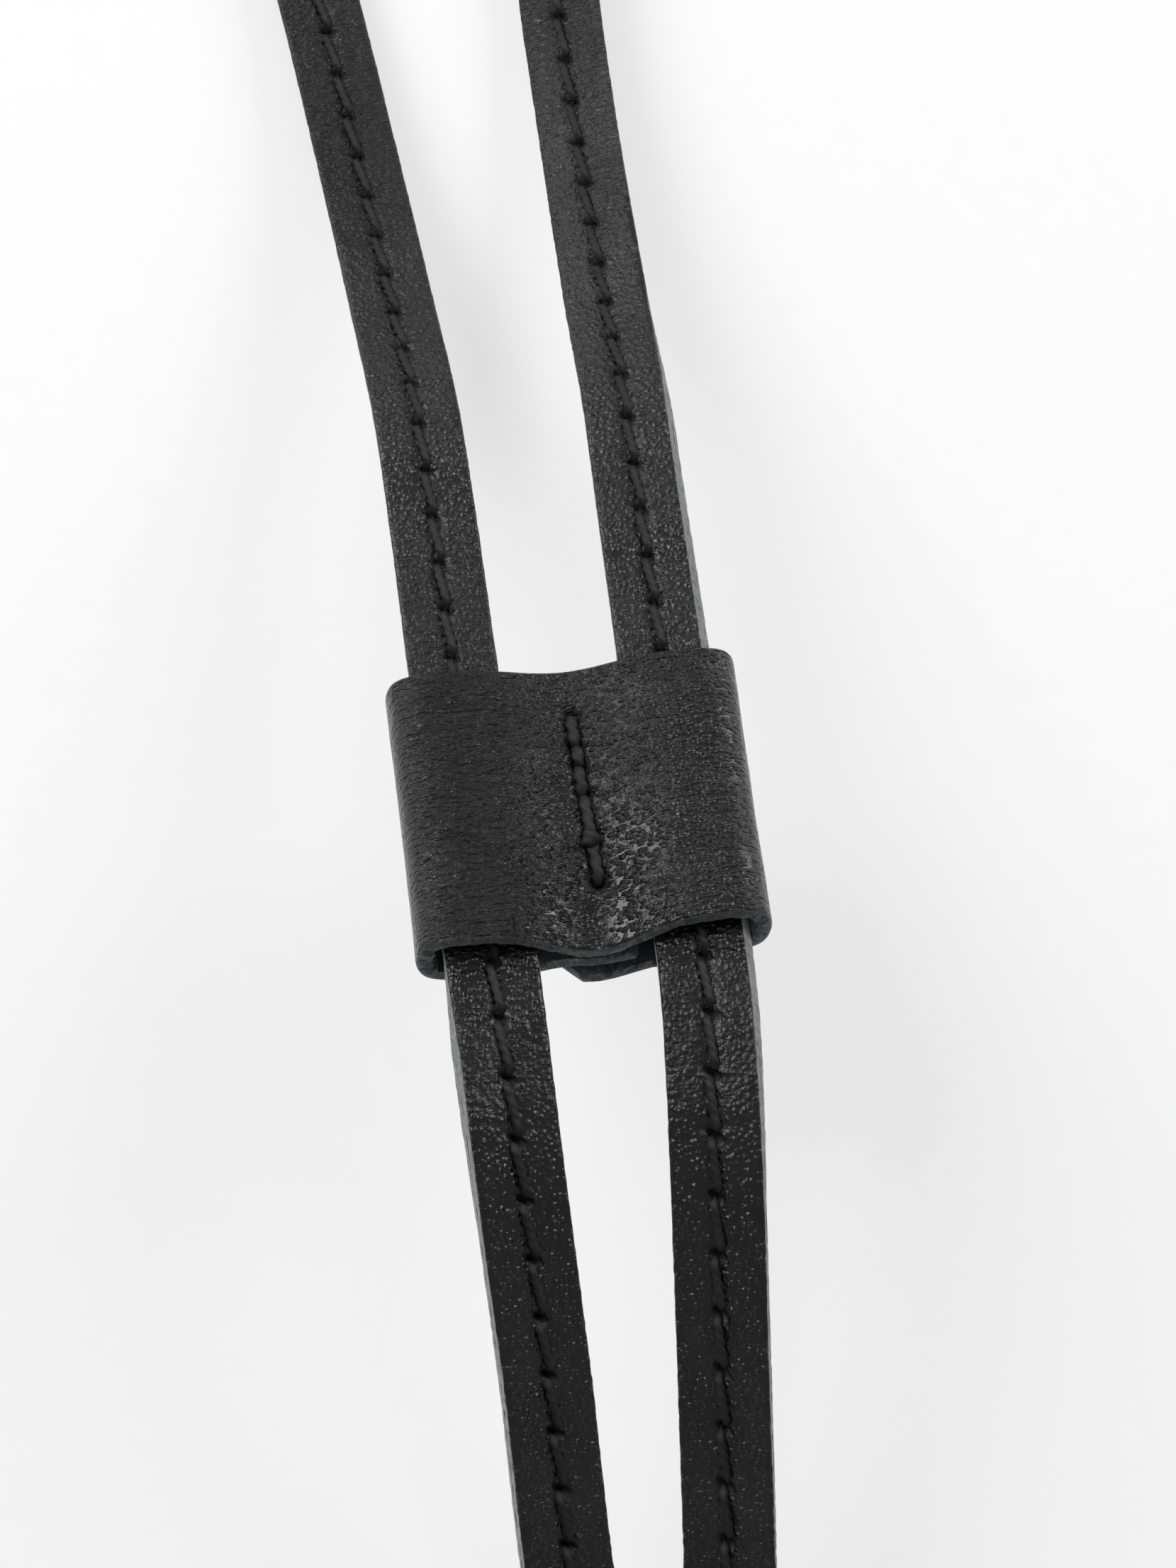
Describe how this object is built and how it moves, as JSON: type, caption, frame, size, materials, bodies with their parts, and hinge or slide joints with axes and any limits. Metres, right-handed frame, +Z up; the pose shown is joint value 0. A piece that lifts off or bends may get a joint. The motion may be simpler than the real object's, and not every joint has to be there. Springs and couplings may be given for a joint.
{
  "type": "saxophone neck strap",
  "caption": "Leather saxophone neck strap: padded neck yoke, doubled stitched straps, a sewn sliding keeper, a D-ring and a swivel snap hook.",
  "frame": {"origin": "bottom centre of the strap as it lies on a flat surface", "axes": "+Y along the strap towards the neck yoke, +Z up, +X to the right seen from above"},
  "size_m": [0.142, 0.5262, 0.0418],
  "materials": {
    "black_leather": "semi-gloss pebble grain, dyed black",
    "lining_leather": "matt soft suede side",
    "foam": "closed-cell foam",
    "waxed_thread": "waxed twisted thread",
    "nickel": "polished nickel plate",
    "spring_steel": "plain spring steel"
  },
  "bodies": {
    "strap": {"yoke_lining": "lining_leather", "yoke_padding": "foam", "yoke_cover": "black_leather", "yoke_inner_thread": "waxed_thread", "yoke_outer_thread": "waxed_thread", "left_strap_front": "black_leather", "left_strap_back": "black_leather", "right_strap_front": "black_leather", "right_strap_back": "black_leather", "left_front_thread": "waxed_thread", "left_back_thread": "waxed_thread", "right_front_thread": "waxed_thread", "right_back_thread": "waxed_thread", "left_yoke_rivet_cap": "nickel", "left_yoke_rivet_post": "nickel", "left_ring_rivet_cap": "nickel", "left_ring_rivet_post": "nickel", "right_yoke_rivet_cap": "nickel", "right_yoke_rivet_post": "nickel", "right_ring_rivet_cap": "nickel", "right_ring_rivet_post": "nickel"},
    "slider": {"slider_band": "black_leather", "slider_front_thread": "waxed_thread", "slider_back_thread": "waxed_thread"},
    "ring": {"d_ring": "nickel"},
    "eye": {"swivel_eye": "nickel"},
    "hook": {"hook_body": "nickel", "gate_pin": "spring_steel", "gate_spring": "spring_steel"},
    "gate": {"gate": "nickel"}
  },
  "joints": [
    {"name": "slider_slide", "type": "slide", "parent": "strap", "child": "slider", "axis": [0, 0.9703, -0.2419], "range_m": [-0.003, 0.026]},
    {"name": "ring_pivot", "type": "hinge", "parent": "strap", "child": "ring", "pos_m": [0.0065, -0.20857, 0.00431], "axis": [1, 0, 0], "range_deg": [-90, 90]},
    {"name": "eye_pivot", "type": "hinge", "parent": "ring", "child": "eye", "pos_m": [0.0065, -0.22557, 0.00431], "axis": [1, 0, 0], "range_deg": [-70, 70]},
    {"name": "hook_swivel", "type": "hinge", "parent": "eye", "child": "hook", "pos_m": [0.0065, -0.22572, 0.0061], "axis": [0, -0.9962, -0.0872], "continuous": true},
    {"name": "gate_hinge", "type": "hinge", "parent": "hook", "child": "gate", "pos_m": [0.0127, -0.23668, 0.00514], "axis": [0, -0.0872, 0.9962], "range_deg": [-27, 0], "stiffness_Nm_per_rad": 0.02, "springref_deg": 22.92}
  ]
}
